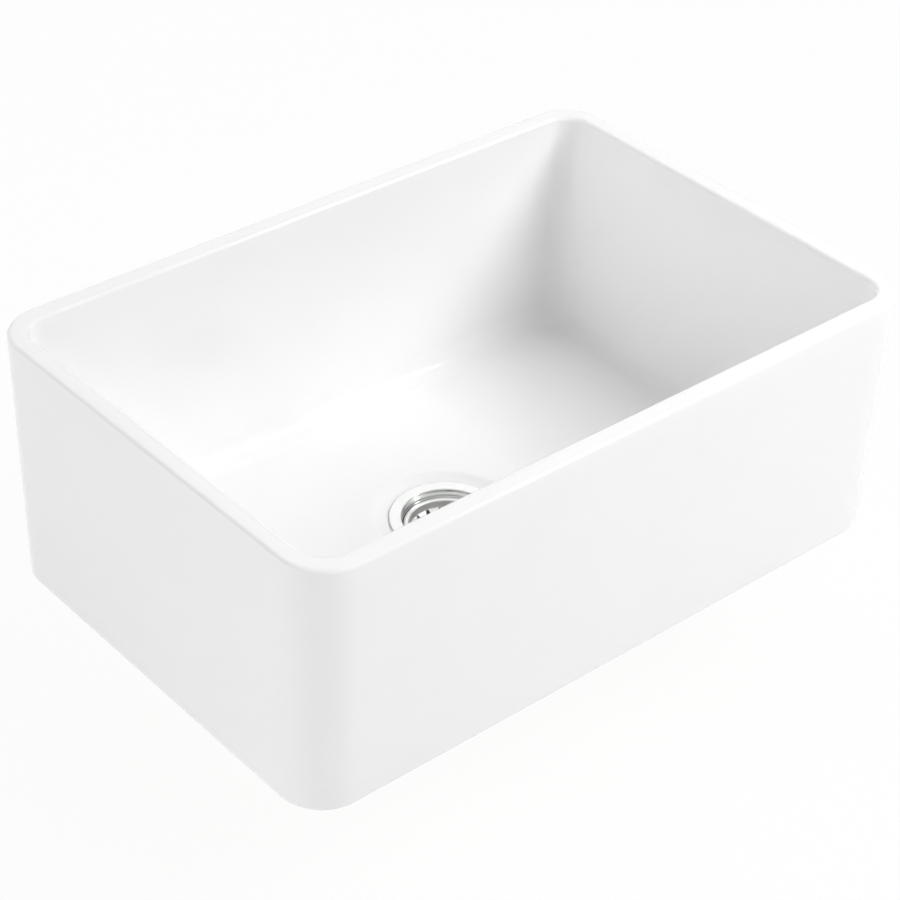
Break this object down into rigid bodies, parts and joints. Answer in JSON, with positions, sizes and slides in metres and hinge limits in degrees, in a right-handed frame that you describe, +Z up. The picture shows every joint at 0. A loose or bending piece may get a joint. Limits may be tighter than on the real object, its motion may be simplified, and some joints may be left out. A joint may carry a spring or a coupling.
{
  "type": "butler sink",
  "caption": "Deep rectangular butler sink in white glazed fireclay, with a basket strainer waste: the strainer basket lifts out and its plug slides to close or drain.",
  "frame": {"origin": "middle of the sink's base, on the plane that it beds on", "axes": "+X along the length, to the right when facing the front; +Y to the back; +Z up"},
  "size_m": [0.685, 0.4598, 0.4166],
  "materials": {
    "fireclay": "gloss white glaze, bare clay under the base",
    "stainless": "polished",
    "chrome": "bright plated",
    "brass": "plain turned",
    "rubber": "moulded black",
    "fibre": "pressed fibre",
    "nylon": "natural moulded"
  },
  "bodies": {
    "sink": {"sink_basin": "fireclay", "strainer_body": "stainless", "flange_seal": "rubber", "base_gasket": "rubber", "friction_washer": "fibre", "locknut": "brass", "outlet_spigot": "brass", "post_socket": "nylon", "coupling_nut": "chrome", "tail_washer": "nylon", "tailpiece": "chrome"},
    "bush": {"basket_bush": "nylon", "bush_ring": "rubber"},
    "basket": {"basket": "stainless"},
    "plug": {"post": "stainless", "knob": "chrome", "stopper_plate": "stainless", "stopper_seal": "rubber", "stopper_washer": "stainless", "stopper_clip": "stainless"}
  },
  "joints": [
    {"name": "basket_lift", "type": "slide", "parent": "sink", "child": "bush", "axis": [0, 0, 1], "range_m": [0, 0.32]},
    {"name": "basket_turn", "type": "hinge", "parent": "bush", "child": "basket", "pos_m": [0, 0.008, -0.0245], "axis": [0, 0, 1], "continuous": true},
    {"name": "plug_slide", "type": "slide", "parent": "bush", "child": "plug", "axis": [0, 0, 1], "range_m": [0, 0.0095]}
  ]
}
